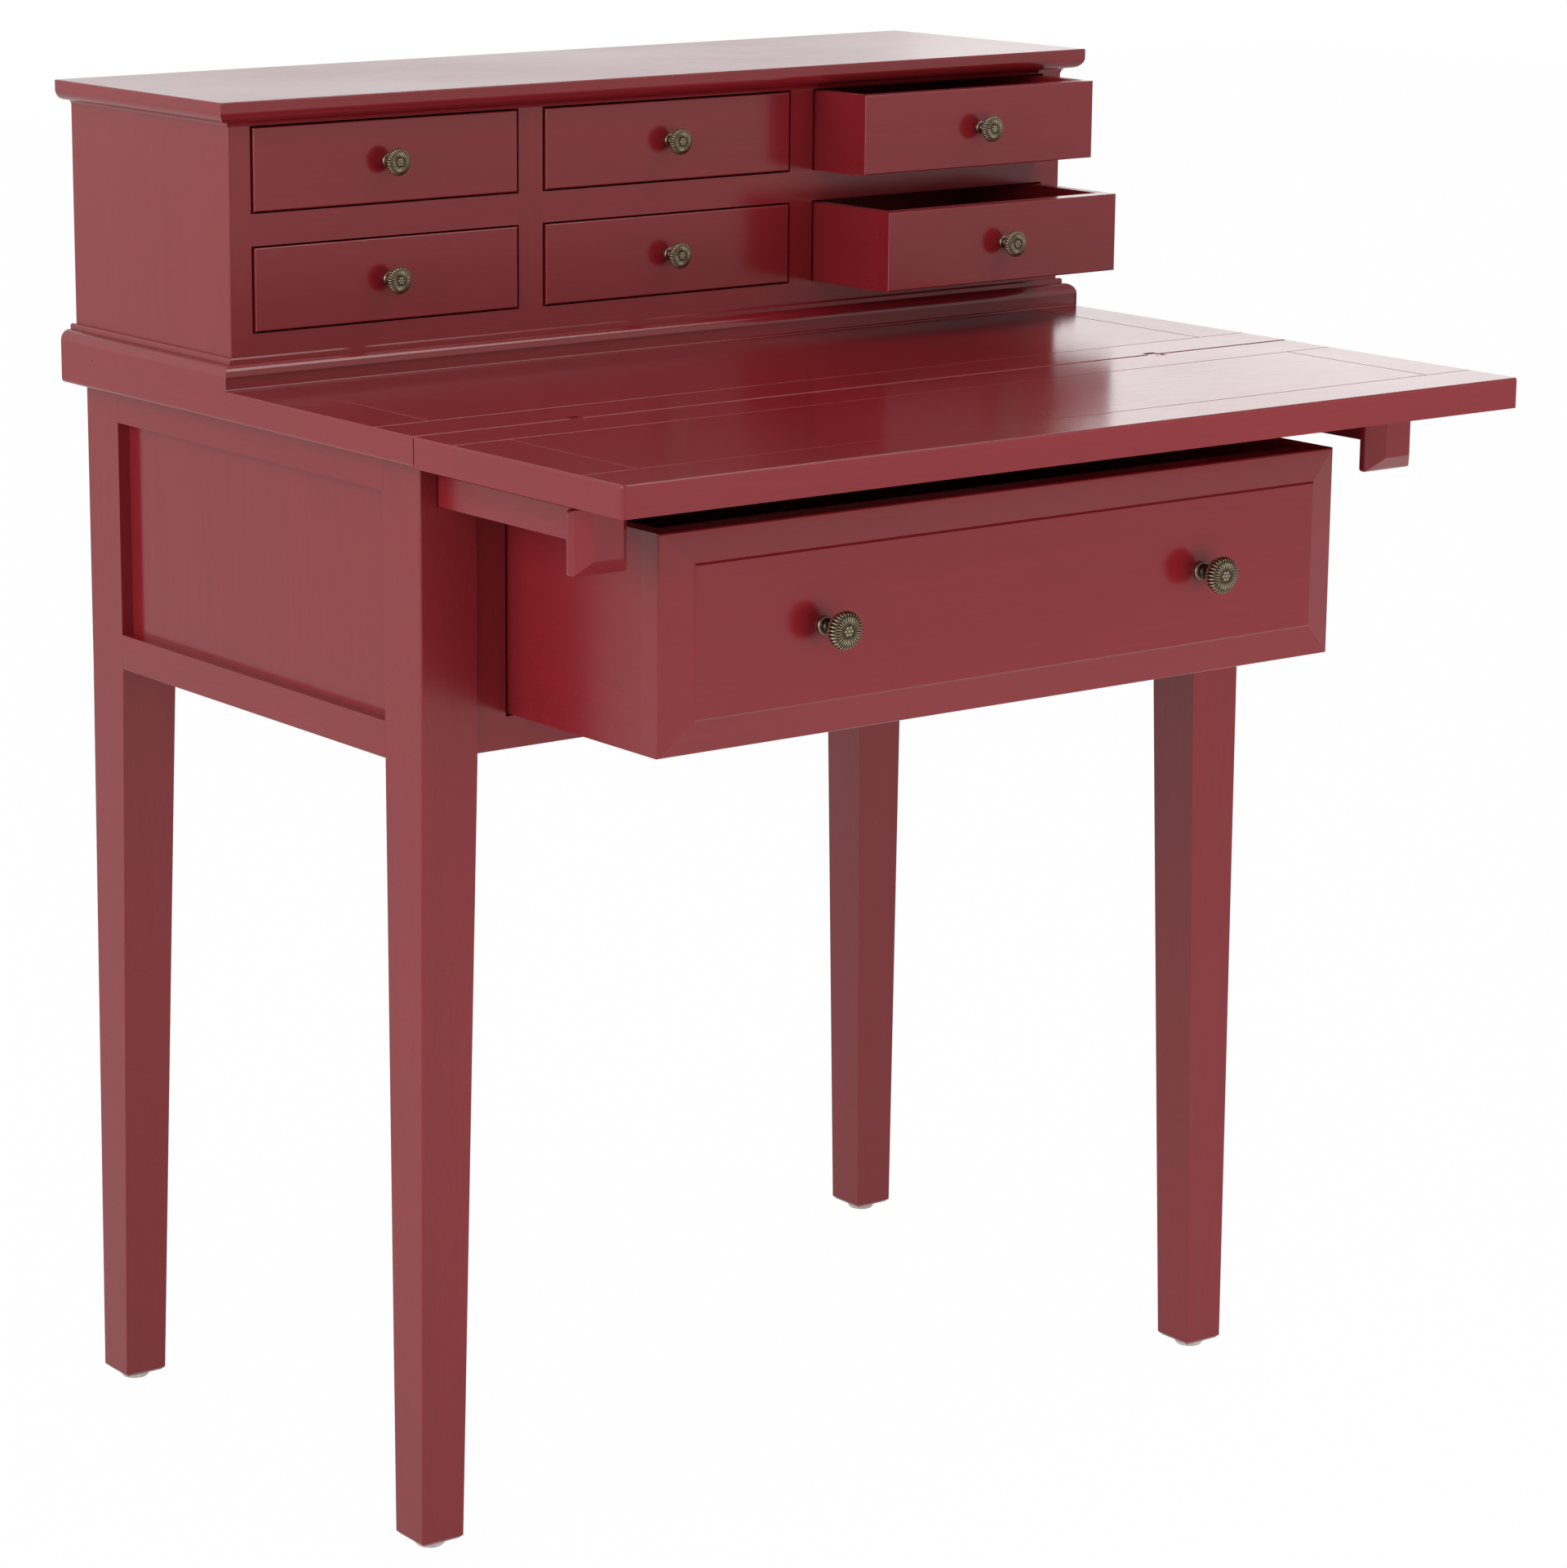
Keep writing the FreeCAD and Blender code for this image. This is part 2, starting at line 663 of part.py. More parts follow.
def build_small_drawers():
    """Two rows of three drawers in the hutch."""
    rows = (("lower", hutch_floor, lower_drawer_out),
            ("upper", hutch_floor + small_opening_height + shelf_thickness, upper_drawer_out))
    for row, floor, right_out in rows:
        for column, place, out in ((-1, "left", 0), (0, "middle", 0), (1, "right", right_out)):
            build_small_drawer("drawer_" + row + "_" + place, column, floor, out)


# Hutch

def cornice_runs(half, back):
    """Outline of the top board across one way: hollow, round and edge at half-width half, closed at back."""
    case_at = half - cornice_overhang
    hollow_at = case_at + cornice_hollow
    curve_low = hutch_case_top + cornice_hollow_height
    curve_high = curve_low + cornice_curve
    round_share = 0.71
    hollow = (hollow_at - cornice_hollow * round_share, hutch_case_top + cornice_hollow_height * round_share)
    bend = (hollow_at + (half - hollow_at) * round_share, curve_high - cornice_curve * round_share)
    top_round_share = 0.29
    eased = (half - edge_easing * top_round_share, overall_height - edge_easing * top_round_share)
    return [[(back, hutch_case_top), (case_at, hutch_case_top)],
            [(case_at, hutch_case_top), hollow, (hollow_at, curve_low)],
            [(hollow_at, curve_low), bend, (half, curve_high)],
            [(half, curve_high), (half, overall_height - edge_easing)],
            [(half, overall_height - edge_easing), eased, (half - edge_easing, overall_height)],
            [(half - edge_easing, overall_height), (back, overall_height)],
            [(back, overall_height), (back, hutch_case_top)]]


def hutch_top_board():
    """Top board moulded along its front and both ends, mitred at the corners."""
    half = hutch_half + cornice_overhang
    reach = hutch_depth + cornice_overhang
    start = hutch_back
    right = chain(*[[Vector(u, start, z) for u, z in run] for run in cornice_runs(half, 0)])
    end_moulded = outline_prism(right, Vector(0, -reach, 0))
    end_moulded = end_moulded.fuse(mirrored(end_moulded))
    front = chain(*[[Vector(-half, start - u, z) for u, z in run] for run in cornice_runs(reach, 0)])
    front_moulded = outline_prism(front, Vector(2 * half, 0, 0))
    return end_moulded.common(front_moulded).removeSplitter()


def moulding_points(footed):
    """Runs of the foot moulding as (distance out from the case, height), with or without a round foot."""
    base = writing_height
    nose_low = base + moulding_face
    nose_high = nose_low + moulding_nose
    nose_in = moulding_proud - moulding_nose
    bend_share = 0.71
    bend = (nose_in + moulding_nose * bend_share, nose_low + moulding_nose * bend_share)
    bead_top = nose_high + moulding_bead_height
    face_runs = [[(moulding_proud, base), (moulding_proud, nose_low)]]
    if footed:
        foot_in = moulding_proud - moulding_foot
        foot_top = base + moulding_foot
        foot_bend = (foot_in + moulding_foot * bend_share, base + moulding_foot * bend_share)
        face_runs = [[(moulding_proud, base), foot_bend, (foot_in, foot_top)],
                     [(foot_in, foot_top), (foot_in, nose_low)],
                     [(foot_in, nose_low), (moulding_proud, nose_low)]]
    return [[(0, base), (moulding_proud, base)],
            *face_runs,
            [(moulding_proud, nose_low), bend, (nose_in, nose_high)],
            [(nose_in, nose_high), (moulding_bead_proud, nose_high)],
            [(moulding_bead_proud, nose_high), (moulding_bead_proud, bead_top - edge_easing)],
            [(moulding_bead_proud, bead_top - edge_easing), (moulding_bead_proud - edge_easing, bead_top)],
            [(moulding_bead_proud - edge_easing, bead_top), (0, bead_top)],
            [(0, bead_top), (0, base)]]


def foot_moulding_front():
    """Moulding along the front of the hutch, mitred at both ends."""
    outer = hutch_half + moulding_proud
    runs = [[Vector(-outer, hutch_front - u, z) for u, z in run] for run in moulding_points(True)]
    strip = outline_prism(chain(*runs), Vector(2 * outer, 0, 0))
    low = writing_height - overrun
    corners = [(-outer, hutch_front - moulding_proud), (outer, hutch_front - moulding_proud),
               (hutch_half, hutch_front), (-hutch_half, hutch_front)]
    mitre = polygon_prism([Vector(x, y, low) for x, y in corners], Vector(0, 0, hutch_floor_height + overrun))
    return strip.common(mitre)


def foot_moulding_side():
    """Moulding along the left end of the hutch, mitred in front and flush with the back of the top."""
    front = hutch_front - moulding_proud
    runs = [[Vector(-hutch_half - u, front, z) for u, z in run] for run in moulding_points(False)]
    strip = outline_prism(chain(*runs), Vector(0, top_back - front, 0))
    low = writing_height - overrun
    outer = hutch_half + moulding_proud
    corners = [(-outer, front), (-hutch_half, hutch_front), (-hutch_half, top_back), (-outer, top_back)]
    mitre = polygon_prism([Vector(x, y, low) for x, y in corners], Vector(0, 0, hutch_floor_height + overrun))
    return strip.common(mitre)


def build_hutch():
    """Case of the hutch with its cells, top board and foot moulding."""
    inner_back = hutch_back - hutch_back_thickness
    rail_back = hutch_front + hutch_rail_thickness
    side = box(-hutch_half, -hutch_inside, hutch_front, hutch_back, writing_height, hutch_case_top)
    side = side.makeFillet(edge_easing, edges_on(side, x=-hutch_half, y=hutch_front))
    save("hutch_sides", *both(side))
    save("hutch_back", box(-hutch_inside, hutch_inside, inner_back, hutch_back,
                           writing_height, hutch_case_top))
    save("hutch_bottom_rail", box(-hutch_inside, hutch_inside, hutch_front, rail_back,
                                  writing_height, hutch_floor))
    save("hutch_bottom_board", box(-hutch_inside, hutch_inside, rail_back, inner_back,
                                   hutch_floor - hutch_bottom_thickness, hutch_floor))
    half = small_opening_width / 2
    save("hutch_dividers", *both(box(-half - divider_thickness, -half, hutch_front, inner_back,
                                     hutch_floor, hutch_case_top)))
    shelf_bottom = hutch_floor + small_opening_height
    centres = [column * column_pitch for column in (-1, 0, 1)]
    save("hutch_shelves", *[box(centre - half, centre + half, hutch_front, inner_back,
                                shelf_bottom, shelf_bottom + shelf_thickness) for centre in centres])
    save("hutch_top_board", hutch_top_board())
    save("foot_moulding", foot_moulding_front(), *both(foot_moulding_side()))


build_base_frame()
build_carcass()
build_top_and_flap()
build_lopers()
build_wide_drawer()
build_hutch()
build_small_drawers()
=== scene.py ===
"""Looks of the red writing desk: paint over open grain, fluted bronze knobs, pale glides, white studio.

Lengths are in metres, noise scales in features a metre and colours in linear light.
"""

import bpy
import numpy as np
from mathutils import Matrix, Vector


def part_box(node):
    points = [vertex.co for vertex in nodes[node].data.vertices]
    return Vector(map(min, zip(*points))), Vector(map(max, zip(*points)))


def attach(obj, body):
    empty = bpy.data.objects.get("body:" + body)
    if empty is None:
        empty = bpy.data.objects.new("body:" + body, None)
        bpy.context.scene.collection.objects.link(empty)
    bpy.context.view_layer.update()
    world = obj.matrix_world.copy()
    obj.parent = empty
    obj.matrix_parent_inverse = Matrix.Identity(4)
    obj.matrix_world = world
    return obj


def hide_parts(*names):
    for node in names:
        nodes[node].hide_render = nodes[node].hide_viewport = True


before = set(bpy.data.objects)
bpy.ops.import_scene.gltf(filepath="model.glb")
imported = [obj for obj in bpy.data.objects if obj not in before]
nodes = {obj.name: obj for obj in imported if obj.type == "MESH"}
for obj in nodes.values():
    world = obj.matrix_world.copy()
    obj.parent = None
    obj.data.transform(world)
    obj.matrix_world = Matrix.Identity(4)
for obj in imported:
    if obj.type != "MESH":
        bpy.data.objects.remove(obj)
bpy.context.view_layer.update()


# Node trees

even = (1.0, 1.0, 1.0)     # coordinates left as they are
whole = (0.0, 1.0)         # full span of a value
middle = (0.3, 0.7)        # span in which most of a noise lies


def add_node(tree, kind, **settings):
    """New shader node with its plain settings."""
    node = tree.nodes.new("ShaderNode" + kind)
    for name, value in settings.items():
        setattr(node, name, value)
    return node


def feed(tree, target, socket, source):
    """Link a node's output, or set a fixed value, on an input given by name or number."""
    if isinstance(source, (int, float, tuple)):
        target.inputs[socket].default_value = source
    else:
        tree.links.new(source, target.inputs[socket])


def blank_material(name):
    """Material with one Principled shader: the material, its tree and that shader."""
    material = bpy.data.materials.new(name)
    material.use_nodes = True
    tree = material.node_tree
    return material, tree, tree.nodes["Principled BSDF"]


def stretched(tree, scale):
    """Object coordinates stretched by a scale for each axis."""
    place = add_node(tree, "TexCoord")
    mapping = add_node(tree, "Mapping")
    feed(tree, mapping, "Vector", place.outputs["Object"])
    feed(tree, mapping, "Scale", scale)
    return mapping.outputs["Vector"]


def noise(tree, stretch, scale, detail, roughness=0.5, distortion=0.0):
    """Cloudy noise, 0 to 1, in object coordinates stretched for each axis."""
    texture = add_node(tree, "TexNoise")
    feed(tree, texture, "Vector", stretched(tree, stretch))
    feed(tree, texture, "Scale", scale)
    feed(tree, texture, "Detail", detail)
    feed(tree, texture, "Roughness", roughness)
    feed(tree, texture, "Distortion", distortion)
    return texture.outputs["Fac"]


def spread(tree, value, span, target):
    """A value moved from one span to another, held at its ends."""
    move = add_node(tree, "MapRange", clamp=True)
    for socket, source in (("Value", value), ("From Min", span[0]), ("From Max", span[1]),
                           ("To Min", target[0]), ("To Max", target[1])):
        feed(tree, move, socket, source)
    return move.outputs["Result"]


def blend_colours(tree, share, first, second):
    """Colour that goes from first to second with share."""
    share_socket, first_socket, second_socket, colour_socket = 0, 6, 7, 2
    mix = add_node(tree, "Mix", data_type="RGBA")
    feed(tree, mix, share_socket, share)
    feed(tree, mix, first_socket, first)
    feed(tree, mix, second_socket, second)
    return mix.outputs[colour_socket]


def combined(tree, operation, first, second):
    """Result of a sum or product of two values."""
    result = add_node(tree, "Math", operation=operation)
    feed(tree, result, 0, first)
    feed(tree, result, 1, second)
    return result.outputs[0]


def summed(tree, first, second):
    """Sum of two values."""
    return combined(tree, "ADD", first, second)


def bumped(tree, shader, height, depth):
    """Surface relief of that depth from a 0 to 1 height."""
    bump = add_node(tree, "Bump")
    feed(tree, bump, "Strength", 1.0)
    feed(tree, bump, "Distance", depth)
    feed(tree, bump, "Height", height)
    feed(tree, shader, "Normal", bump.outputs["Normal"])


def mixed_surface(tree, share, first, second, output):
    """Surface of a tree: goes from the first shader to the second with share."""
    mix = add_node(tree, "MixShader")
    for socket, source in enumerate((share, first.outputs[0], second.outputs[0])):
        feed(tree, mix, socket, source)
    feed(tree, tree.nodes[output], "Surface", mix.outputs[0])


# Finishes

def red_paint(name, grain, deep, light, gloss, depth=0.00005):
    """Satin red paint that lets the open grain read through.

    Long pores and a slow figure run along the grain axis: the noise is stretched along it. The colour
    goes from deep to light with figure and cloud, and is a little darker in the pores. The roughness
    swings about the gloss with the cloud. The relief is figure, pores and a fine orange peel.
    """
    pore_along, pore_across, pore_span = 38.0, 640.0, (0.5, 0.68)
    pore_colour, pore_share, pore_roughness = (0.055, 0.004, 0.006, 1.0), 0.1, 0.03
    figure_along, figure_across = 3.5, 62.0
    figure_shares, cloud_shares = (0.2, 0.42), (0.1, 0.3)
    gloss_swing, paint_ior = 0.03, 1.5
    pore_relief, figure_relief, peel_relief = 0.08, 0.8, 0.12
    material, tree, shader = blank_material(name)
    pores_at = tuple(pore_along if axis == grain else pore_across for axis in "XYZ")
    figure_at = tuple(figure_along if axis == grain else figure_across for axis in "XYZ")
    pores = spread(tree, noise(tree, pores_at, scale=1.0, detail=4.0, roughness=0.62),
                   pore_span, whole)
    figure = noise(tree, figure_at, scale=1.0, detail=3.0, roughness=0.55, distortion=0.6)
    cloud = noise(tree, even, scale=4.0, detail=2.0)
    peel = noise(tree, even, scale=210.0, detail=2.0)
    share = summed(tree, spread(tree, figure, middle, figure_shares),
                   spread(tree, cloud, middle, cloud_shares))
    colour = blend_colours(tree, share, deep, light)
    darkening = spread(tree, pores, whole, (0.0, pore_share))
    feed(tree, shader, "Base Color", blend_colours(tree, darkening, colour, pore_colour))
    sheen = spread(tree, cloud, middle, (gloss - gloss_swing, gloss + gloss_swing))
    feed(tree, shader, "Roughness",
         summed(tree, sheen, spread(tree, pores, whole, (0.0, pore_roughness))))
    feed(tree, shader, "IOR", paint_ior)
    relief = summed(tree, spread(tree, pores, whole, (pore_relief, 0.0)),
                    summed(tree, spread(tree, figure, whole, (0.0, figure_relief)),
                           spread(tree, peel, whole, (0.0, peel_relief))))
    bumped(tree, shader, relief, depth)
    return material


def aged_bronze():
    """Dark bronze under a mottled patina, rubbed bright where the "rubbed" attribute is high."""
    dark, bright = (0.052, 0.042, 0.032, 1.0), (0.62, 0.51, 0.345, 1.0)
    rub_span, rub_shares = (0.3, 1.0), (0.0, 0.9)
    patina_span, patina_shares = (0.45, 0.8), (0.0, 0.25)
    roughness_span, roughness = (0.3, 0.8), (0.3, 0.5)
    patina_depth = 0.00004
    material, tree, shader = blank_material("knob_bronze")
    worn = add_node(tree, "Attribute", attribute_name="rubbed")
    patina = noise(tree, even, scale=900.0, detail=4.0, roughness=0.6)
    share = summed(tree, spread(tree, worn.outputs["Fac"], rub_span, rub_shares),
                   spread(tree, patina, patina_span, patina_shares))
    feed(tree, shader, "Base Color", blend_colours(tree, share, dark, bright))
    feed(tree, shader, "Roughness", spread(tree, patina, roughness_span, roughness))
    feed(tree, shader, "Metallic", 1.0)
    bumped(tree, shader, patina, patina_depth)
    return material


def dull_brass():
    """Dull brass of the hinge pins, brushed along X."""
    dark, bright = (0.36, 0.27, 0.14, 1.0), (0.62, 0.5, 0.29, 1.0)
    brushed_at, brush_depth, roughness = (300.0, 2600.0, 2600.0), 0.00002, (0.3, 0.46)
    material, tree, shader = blank_material("hinge_brass")
    brushed = noise(tree, brushed_at, scale=1.0, detail=3.0)
    feed(tree, shader, "Base Color", blend_colours(tree, brushed, dark, bright))
    feed(tree, shader, "Roughness", spread(tree, brushed, middle, roughness))
    feed(tree, shader, "Metallic", 1.0)
    bumped(tree, shader, brushed, brush_depth)
    return material


def pale_plastic():
    """Pale plastic of the floor glides, lightly scuffed."""
    clean, scuffed = (0.72, 0.68, 0.64, 1.0), (0.5, 0.45, 0.42, 1.0)
    scuff_span, scuff_depth, roughness = (0.4, 0.75), 0.00005, (0.42, 0.6)
    material, tree, shader = blank_material("glide_plastic")
    scuff = noise(tree, even, scale=420.0, detail=5.0, roughness=0.65)
    share = spread(tree, scuff, scuff_span, whole)
    feed(tree, shader, "Base Color", blend_colours(tree, share, clean, scuffed))
    feed(tree, shader, "Roughness", spread(tree, scuff, middle, roughness))
    bumped(tree, shader, scuff, scuff_depth)
    return material


deep_red = (0.165, 0.0085, 0.0125, 1.0)
light_red = (0.225, 0.0125, 0.0175, 1.0)
# The pieces inside the case take a darker copy of the same red paint: painted shade for the dark inside
# the case, with its own rougher gloss
shaded_inner_deep_red = (0.12, 0.008, 0.011, 1.0)
shaded_inner_light_red = (0.17, 0.013, 0.016, 1.0)
face_gloss, leg_gloss, side_gloss, inner_gloss = 0.18, 0.26, 0.28, 0.34
leg_relief_depth = 0.00002

paint = {axis: red_paint("red_paint_" + axis.lower(), axis, deep_red, light_red, face_gloss)
         for axis in "XYZ"}
leg_paint = red_paint("leg_paint_z", "Z", deep_red, light_red, leg_gloss, leg_relief_depth)
side_paint = red_paint("side_paint_y", "Y", deep_red, light_red, side_gloss)
shaded_inner_paint = {axis: red_paint("shaded_inner_paint_" + axis.lower(), axis, shaded_inner_deep_red,
                               shaded_inner_light_red, inner_gloss) for axis in "XY"}
bronze = aged_bronze()
brass = dull_brass()
plastic = pale_plastic()


# Finishes of the carried-over pieces

along_y = ("side_rails", "top_end_stiles", "flap_end_stiles")
along_z = ("front_stiles", "hutch_sides", "hutch_dividers", "side_panels", "loper_block_left",
           "loper_block_right")
inside = {"drawer_runners": "Y", "drawer_kickers": "Y", "loper_bars": "Y", "hutch_back": "X",
          "hutch_bottom_board": "X"}


def finish_of(name):
    """Finish of a carried-over piece by its name."""
    if name == "floor_glides":
        return plastic
    if name.startswith("hinge_") and name.endswith("_pins"):
        return brass
    if "knob" in name:
        return bronze
    if name.startswith("leg_"):
        return leg_paint
    # inside pieces: the darker red copy, which is painted shade
    if name in inside:
        return shaded_inner_paint[inside[name]]
    if name.endswith("_box") or name.startswith("loper_arm"):
        return side_paint
    if name in along_y:
        return paint["Y"]
    return paint["Z" if name in along_z else "X"]


for name, piece in nodes.items():
    piece.data.materials.clear()
    piece.data.materials.append(finish_of(name))


# Fluted knobs

def bowed(first, through, last, count):
    """Points of a quadratic curve pulled towards a middle point, without the last one."""
    t = np.linspace(0.0, 1.0, count, endpoint=False)[:, None]
    first, through, last = (np.array(point, float) for point in (first, through, last))
    return (1 - t) ** 2 * first + 2 * t * (1 - t) * through + t ** 2 * last


def knob_profile():
    """Rows of the knob from seat to crown: distance out, radius, petal depth and bead depth.

    Distance is a share of the knob's length and radius of its radius. The depths go from 0 to 1.
    Each run bows from the end of the one before it.
    """
    # middle point, end point, rows, petal depth at both ends, bead depth at both ends
    runs = (((0.0, 0.24), (0.0, 0.46), 3, (0, 0), (0, 0)),
            ((0.05, 0.54), (0.09, 0.45), 9, (0, 0), (0, 0)),
            ((0.1, 0.38), (0.115, 0.37), 4, (0, 0), (0, 0)),
            ((0.19, 0.46), (0.25, 0.36), 8, (0, 0), (0, 0)),
            ((0.33, 0.31), (0.46, 0.4), 7, (0, 0), (0, 0)),
            ((0.57, 0.5), (0.59, 0.78), 8, (0, 0), (0, 1)),
            ((0.635, 0.93), (0.68, 0.83), 9, (0, 0), (1, 1)),
            ((0.685, 0.84), (0.69, 0.87), 3, (0, 0.4), (1, 0)),
            ((0.73, 1.0), (0.81, 1.0), 12, (0.4, 1), (0, 0)),
            ((0.92, 0.99), (0.945, 0.82), 14, (1, 0.6), (0, 0)),
            ((0.946, 0.8), (0.947, 0.785), 3, (0.6, 0.3), (0, 0)),
            ((0.986, 0.76), (0.988, 0.58), 14, (0.3, 1), (0, 0)),
            ((0.99, 0.46), (0.972, 0.4), 12, (1, 0.6), (0, 0)),
            ((0.955, 0.385), (0.952, 0.35), 5, (0.6, 0), (0, 0)),
            ((0.96, 0.22), (0.96, 0.0), 14, (0, 0), (0, 0)))
    first, points, petal, bead = (0.0, 0.0), [], [], []
    for through, last, rows, petal_ends, bead_ends in runs:
        points.append(bowed(first, through, last, rows))
        petal.append(np.linspace(*petal_ends, rows))
        bead.append(np.linspace(*bead_ends, rows))
        first = last
    petal.append([0.0])
    bead.append([0.0])
    return np.vstack([*points, [first]]), np.concatenate(petal), np.concatenate(bead)


def fluted_knob(seat, radius, length, petals=30, beads=54, columns=300):
    """Vertices, faces and rub of a knob turned about -Y from its seat.

    The profile is carried round the axis; petals and beads sink its valleys along the profile's normal
    by 1 - |cos|, the petals round the rim half a pitch on from those of the face, and a cluster of
    small domes stands on the crown. The rub is high on ridges, beads, domes and the flange's edge.
    """
    petal_sink_share, bead_sink_share, petal_power = 0.12, 0.05, 0.75
    face_start_share, crown_share = 0.9465, 0.34
    dome_count, dome_ring_share, dome_radius_share, dome_rise = 6, 0.2, 0.098, 0.55
    bead_rub, dome_rub, flange_rub = 0.7, 0.85, 0.75
    flange_end_share, flange_edge_share, flange_slope = 0.3, 0.38, 9
    shortest_normal = 1e-9
    points, petal, bead = knob_profile()
    out_shares, away_shares = points[:, :1], points[:, 1:]
    step = np.gradient(points * (length, radius), axis=0)
    normal = np.stack([-step[:, 1], step[:, 0]], 1)
    normal /= np.maximum(np.linalg.norm(normal, axis=1, keepdims=True), shortest_normal)
    turn = np.linspace(0.0, 2 * np.pi, columns, endpoint=False)
    half_pitch = np.where(out_shares < face_start_share, np.pi / petals, 0.0)
    ridge = np.abs(np.cos(petals * (turn + half_pitch) / 2)) ** petal_power
    pip = np.abs(np.cos(beads * turn / 2))
    sink = (petal_sink_share * petal[:, None] * (1 - ridge)
            + bead_sink_share * bead[:, None] * (1 - pip))
    out = out_shares * length - sink * radius * normal[:, :1]
    away = np.maximum(away_shares * radius - sink * radius * normal[:, 1:], 0.0)
    across = away * np.cos(turn)
    upward = away * np.sin(turn)
    ring = 2 * np.pi * np.arange(dome_count) / dome_count
    ring_spots = dome_ring_share * np.stack([np.cos(ring), np.sin(ring)], 1)
    spots = np.vstack([(0.0, 0.0), ring_spots]) * radius
    reach = dome_radius_share * radius
    gaps = np.min((across[..., None] - spots[:, 0]) ** 2
                  + (upward[..., None] - spots[:, 1]) ** 2, axis=-1)
    domes = np.sqrt(np.maximum(reach ** 2 - gaps, 0.0)) * (away_shares < crown_share)
    out = out + domes * dome_rise
    flange = np.clip((away_shares - flange_edge_share) * flange_slope, 0, 1)
    rub = (petal[:, None] * ridge ** 2 + bead_rub * bead[:, None] * pip ** 2
           + dome_rub * domes / reach
           + np.where(out_shares < flange_end_share, flange_rub * flange, 0.0))
    verts = np.stack([seat[0] + across, seat[1] - out, seat[2] + upward], -1)
    rows = len(points)
    index = np.arange(rows * columns).reshape(rows, columns)
    here, after = index[1:-2], index[2:-1]
    quads = np.stack([here, np.roll(here, -1, 1), np.roll(after, -1, 1), after], -1).reshape(-1, 4)
    back = np.stack([np.full(columns, index[0, 0]), np.roll(index[1], -1), index[1]], -1)
    front = np.stack([index[-2], np.roll(index[-2], -1), np.full(columns, index[-1, 0])], -1)
    keep = np.concatenate([index[0, :1], index[1:-1].ravel(), index[-1, :1]])
    renumber = np.zeros(rows * columns, int)
    renumber[keep] = np.arange(len(keep))
    faces = [*renumber[back].tolist(), *renumber[quads].tolist(), *renumber[front].tolist()]
    return verts.reshape(-1, 3)[keep], faces, np.clip(rub, 0, 1).ravel()[keep]


def knob_piece(name, node, body, places, radius, length):
    """One piece of one or more knobs that stands for a node and rides on its body."""
    verts, faces, rub, start = [], [], [], 0
    for place in places:
        points, loops, worn = fluted_knob(place, radius, length)
        verts.append(points)
        faces += [[corner + start for corner in loop] for loop in loops]
        rub.append(worn)
        start += len(points)
    mesh = bpy.data.meshes.new(name)
    mesh.from_pydata(np.vstack(verts).tolist(), [], faces)
    rubbed = mesh.attributes.new("rubbed", "FLOAT", "POINT")
    rubbed.data.foreach_set("value", np.concatenate(rub).astype(np.float32))
    mesh.shade_smooth()
    mesh.materials.append(bronze)
    piece = bpy.data.objects.new(name, mesh)
    bpy.context.scene.collection.objects.link(piece)
    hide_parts(node)
    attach(piece, body)


for row in ("lower", "upper"):
    for place in ("left", "middle", "right"):
        body = "drawer_" + row + "_" + place
        low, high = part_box(body + "_knob")
        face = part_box(body + "_front")[0].y
        seat = ((low.x + high.x) / 2, face, (low.z + high.z) / 2)
        knob_piece("fluted_knob_" + row + "_" + place, body + "_knob", body, [seat],
                   (high.x - low.x) / 2, face - low.y)

low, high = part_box("wide_drawer_knobs")
wide_radius = (high.z - low.z) / 2
wide_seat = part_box("wide_drawer_front")[0].y
wide_places = [(x, wide_seat, (low.z + high.z) / 2)
               for x in (low.x + wide_radius, high.x - wide_radius)]
knob_piece("fluted_knobs_wide", "wide_drawer_knobs", "wide_drawer", wide_places, wide_radius,
           wide_seat - low.y)


# Studio

def ray_share(tree, to_eye, to_mirror):
    """Share by the kind of ray: one to the eye and through glass, another in mirrors, else none."""
    path = add_node(tree, "LightPath")
    eye, glass, mirror = (combined(tree, "MULTIPLY", path.outputs[ray], amount)
                          for ray, amount in (("Is Camera Ray", to_eye),
                                              ("Is Transmission Ray", to_eye),
                                              ("Is Glossy Ray", to_mirror)))
    return summed(tree, summed(tree, eye, glass), mirror)


def placed(right, up, back, place):
    """Matrix of a lamp or camera from its three directions and its place."""
    return Matrix([*zip(right, up, back, place), (0.0, 0.0, 0.0, 1.0)])


def studio_floor():
    """Wide pale floor that reads as white and keeps a trace of the shadow."""
    half = 9.0
    dark_grey, light_grey, floor_roughness = (0.58, 0.58, 0.58, 1.0), (0.62, 0.62, 0.62, 1.0), 0.9
    white_to_eye, white_to_mirror = 0.99, 0.6
    corners = [(-half, -half, 0), (half, -half, 0), (half, half, 0), (-half, half, 0)]
    mesh = bpy.data.meshes.new("studio_floor")
    mesh.from_pydata(corners, [], [(0, 1, 2, 3)])
    material, tree, shader = blank_material("pale_floor")
    grain = noise(tree, even, scale=3.0, detail=3.0)
    feed(tree, shader, "Base Color", blend_colours(tree, grain, dark_grey, light_grey))
    feed(tree, shader, "Roughness", floor_roughness)
    feed(tree, shader, "Specular IOR Level", 0.0)
    mixed_surface(tree, ray_share(tree, white_to_eye, white_to_mirror), shader,
                  add_node(tree, "Emission"), "Material Output")
    mesh.materials.append(material)
    floor = bpy.data.objects.new("studio_floor", mesh)
    bpy.context.scene.collection.objects.link(floor)


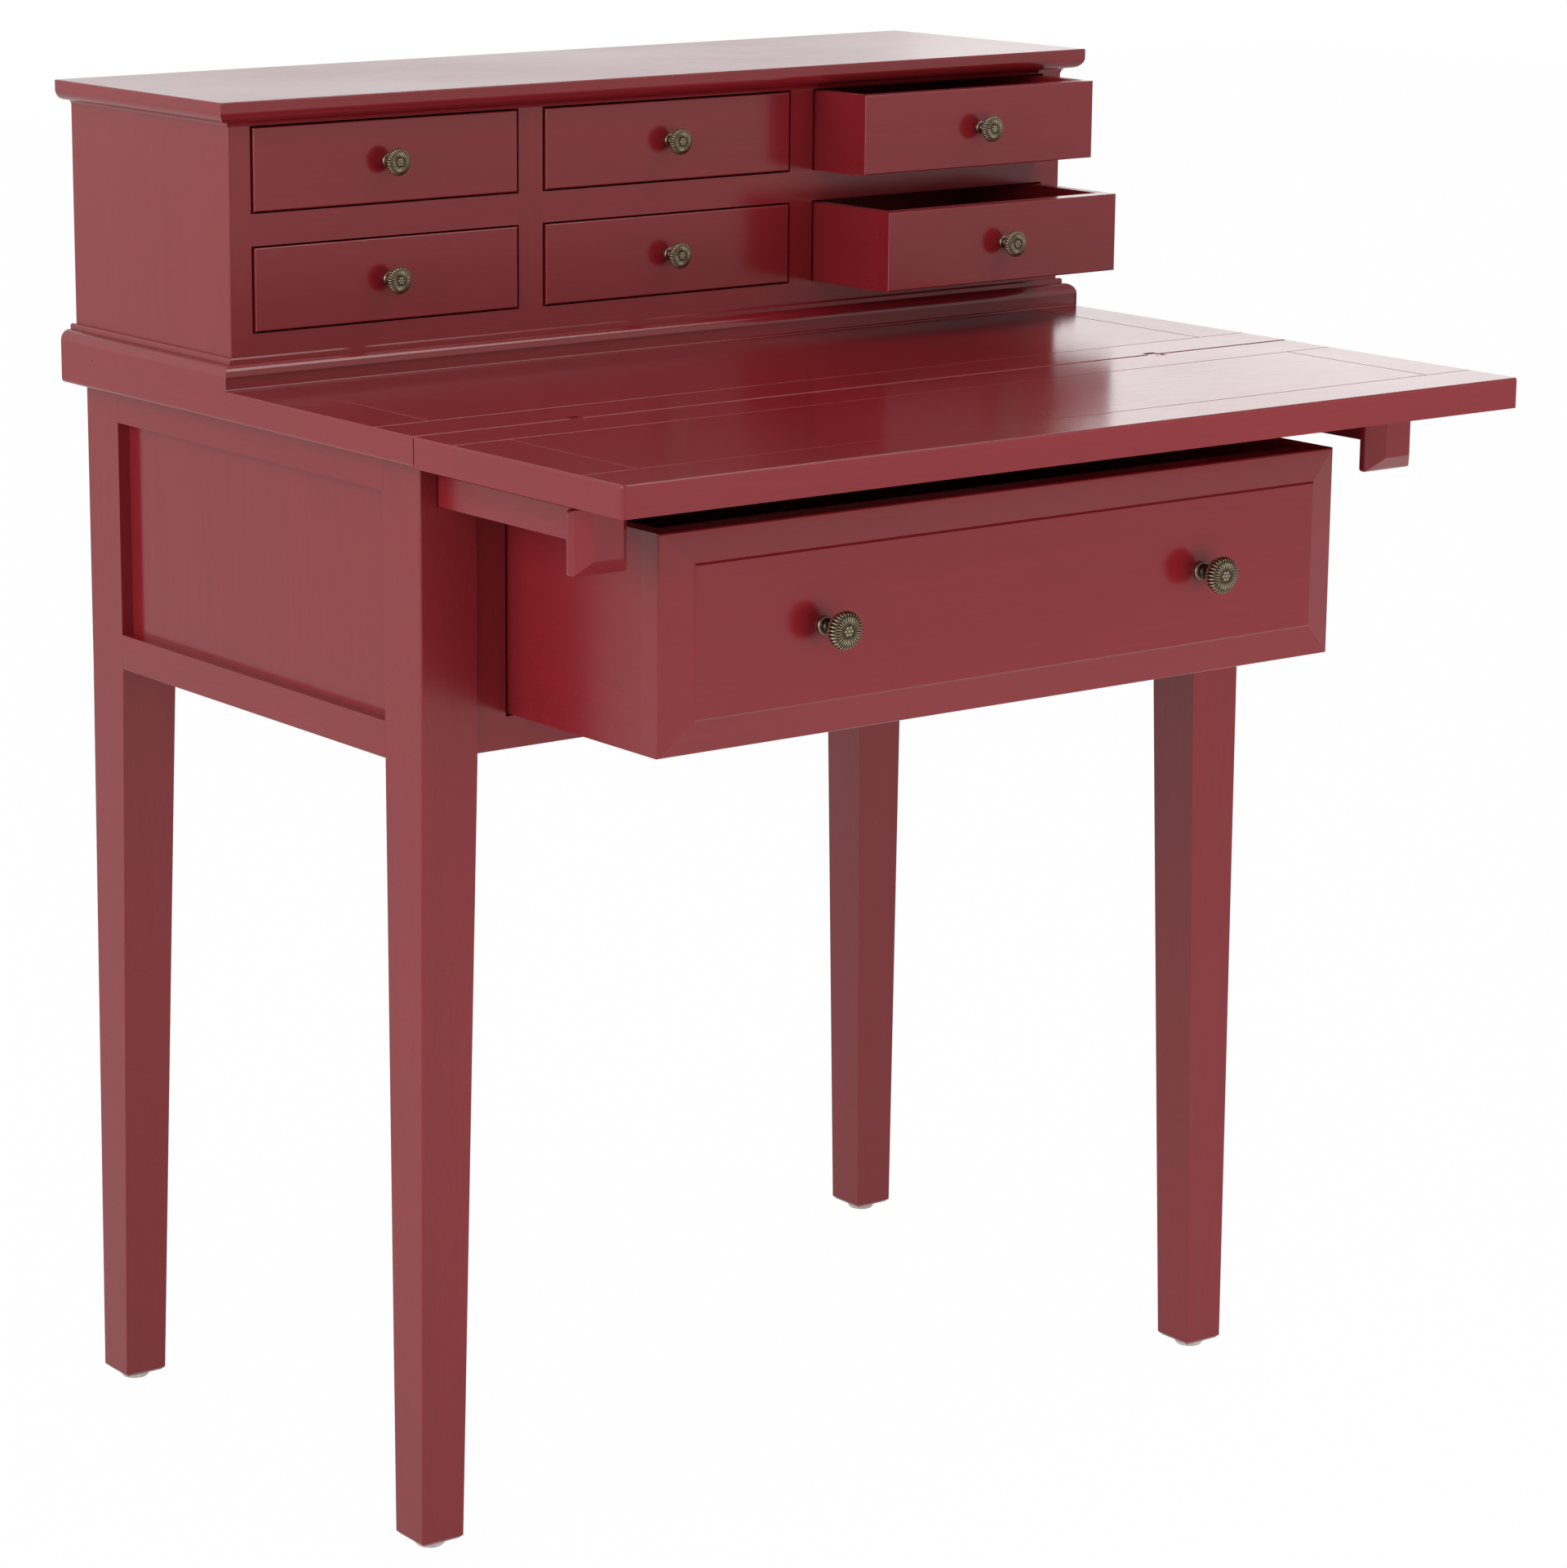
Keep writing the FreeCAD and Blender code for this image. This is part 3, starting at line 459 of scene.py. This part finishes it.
def studio_world(strength):
    """Room that gives white light of a set strength; eye and mirrors see it dimmer overhead."""
    white, overhead_grey, overhead_span = (1.0, 1.0, 1.0, 1.0), (0.4, 0.4, 0.4, 1.0), (0.4, 0.75)
    world = bpy.data.worlds.new("white_room")
    world.use_nodes = True
    bpy.context.scene.world = world
    tree = world.node_tree
    light = tree.nodes["Background"]
    feed(tree, light, "Color", white)
    feed(tree, light, "Strength", strength)
    seen = add_node(tree, "Background")
    direction = add_node(tree, "TexCoord")
    parts = add_node(tree, "SeparateXYZ")
    feed(tree, parts, 0, direction.outputs["Generated"])
    overhead = spread(tree, parts.outputs["Z"], overhead_span, whole)
    feed(tree, seen, "Color", blend_colours(tree, overhead, white, overhead_grey))
    mixed_surface(tree, ray_share(tree, 1.0, 1.0), light, seen, "World Output")


def soft_light(name, place, aim, size, power, mirrored=True):
    """Rectangular lamp at a place, turned to a point; it can be left out of mirrors."""
    lamp = bpy.data.lights.new(name, "AREA")
    lamp.shape = "RECTANGLE"
    lamp.size, lamp.size_y = size
    lamp.energy = power
    light = bpy.data.objects.new(name, lamp)
    back = np.array(place, float) - np.array(aim, float)
    back /= np.linalg.norm(back)
    right = np.cross((0.0, 0.0, 1.0), back)
    right /= np.linalg.norm(right)
    light.matrix_world = placed(right, np.cross(back, right), back, place)
    light.visible_camera = False
    light.visible_glossy = mirrored
    bpy.context.scene.collection.objects.link(light)


def photo_camera():
    """Camera at the photograph's place: a long lens left of the desk, a little above it.

    The focal length and the picture's centre are in pixels of the photograph.
    """
    image_width, image_height = 1920.0, 1921.0
    focal = 5832.38
    centre = (640.0, 940.0)
    lens = bpy.data.cameras.new("photo_camera")
    lens.sensor_fit = "HORIZONTAL"
    lens.sensor_width = 36.0
    lens.lens = focal / image_width * lens.sensor_width
    lens.shift_x = (image_width / 2 - centre[0]) / image_width
    lens.shift_y = (centre[1] - image_height / 2) / image_width
    camera = bpy.data.objects.new("photo_camera", lens)
    camera.matrix_world = placed(right=(0.823608, -0.567153, -0.002658),
                                 up=(0.130947, 0.185593, 0.973862),
                                 back=(-0.551836, -0.802429, 0.227123),
                                 place=(-1.97722, -2.56795, 1.22745))
    bpy.context.scene.collection.objects.link(camera)
    bpy.context.scene.camera = camera


studio_floor()
studio_world(strength=0.68)
soft_light("left_softbox", place=(-3.2, -0.3, 1.6), aim=(0.0, 0.0, 0.6), size=(2.2, 2.2),
           power=68.0)
soft_light("front_softbox", place=(0.2, -1.5, 0.5), aim=(0.1, 0.0, 0.55), size=(0.8, 0.7),
           power=9.0, mirrored=False)
soft_light("top_softbox", place=(0.93, -0.75, 2.7), aim=(0.0, 0.1, 0.76), size=(0.9, 0.9),
           power=10.5)
soft_light("back_panel", place=(7.03, 6.0, 2.75), aim=(7.03, 0.0, 2.75), size=(4.05, 1.9),
           power=23.5)
photo_camera()

bpy.context.scene.view_settings.view_transform = "Standard"
